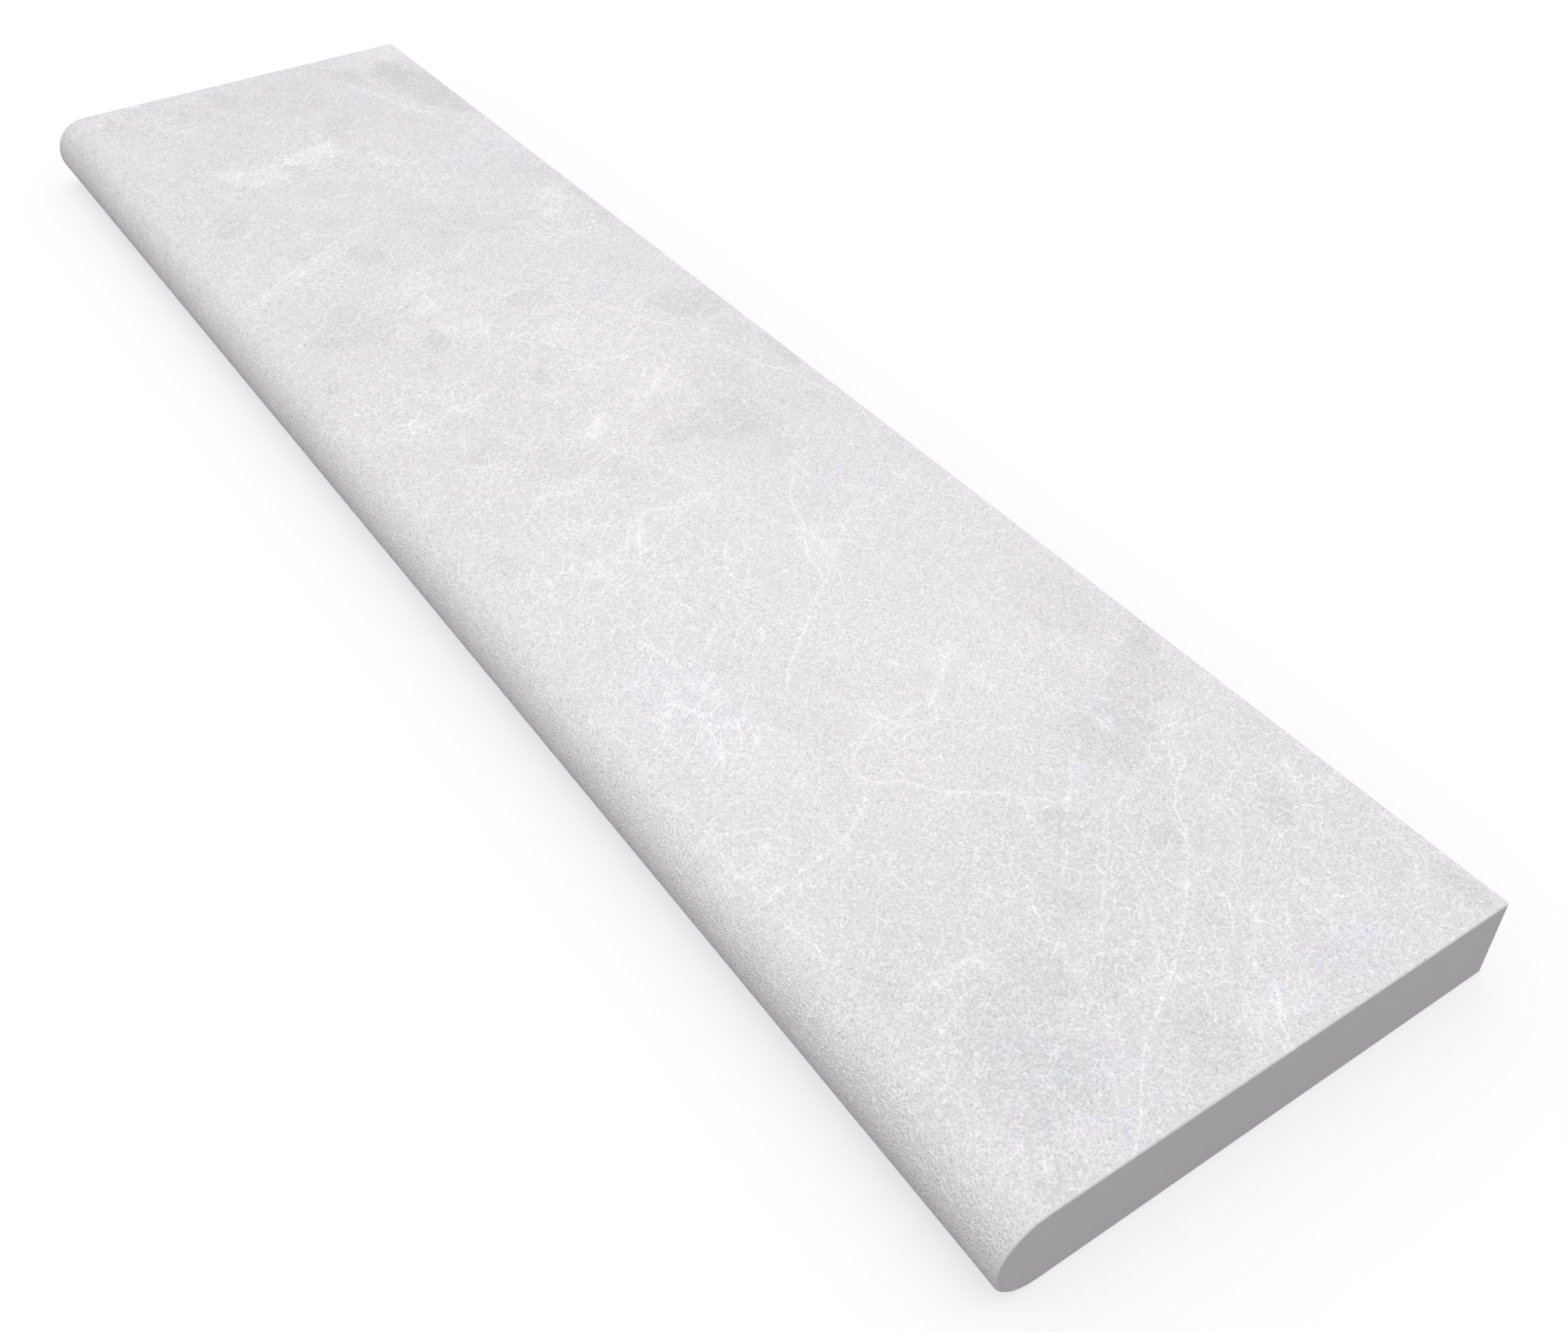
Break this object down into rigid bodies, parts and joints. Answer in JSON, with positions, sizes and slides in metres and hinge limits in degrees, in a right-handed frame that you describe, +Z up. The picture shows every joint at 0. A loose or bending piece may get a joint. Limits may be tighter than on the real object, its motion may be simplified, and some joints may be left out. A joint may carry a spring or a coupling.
{
  "type": "marble pool coping",
  "caption": "Long flat slab of pale marble with one long side rounded to a full half-round nose, laid on mortar as the edging and step of a swimming pool.",
  "frame": {"origin": "middle of the slab's bounding box at its base, on the mortar bed", "axes": "+X along the pool's edge, -Y out over the water with the nose at the low Y side, +Z up"},
  "size_m": [1.2192, 0.3047, 0.0508],
  "materials": {
    "marble": "textured top and nose, fine sawn ends"
  },
  "bodies": {
    "root": {"coping_stone": "marble"}
  },
  "joints": []
}
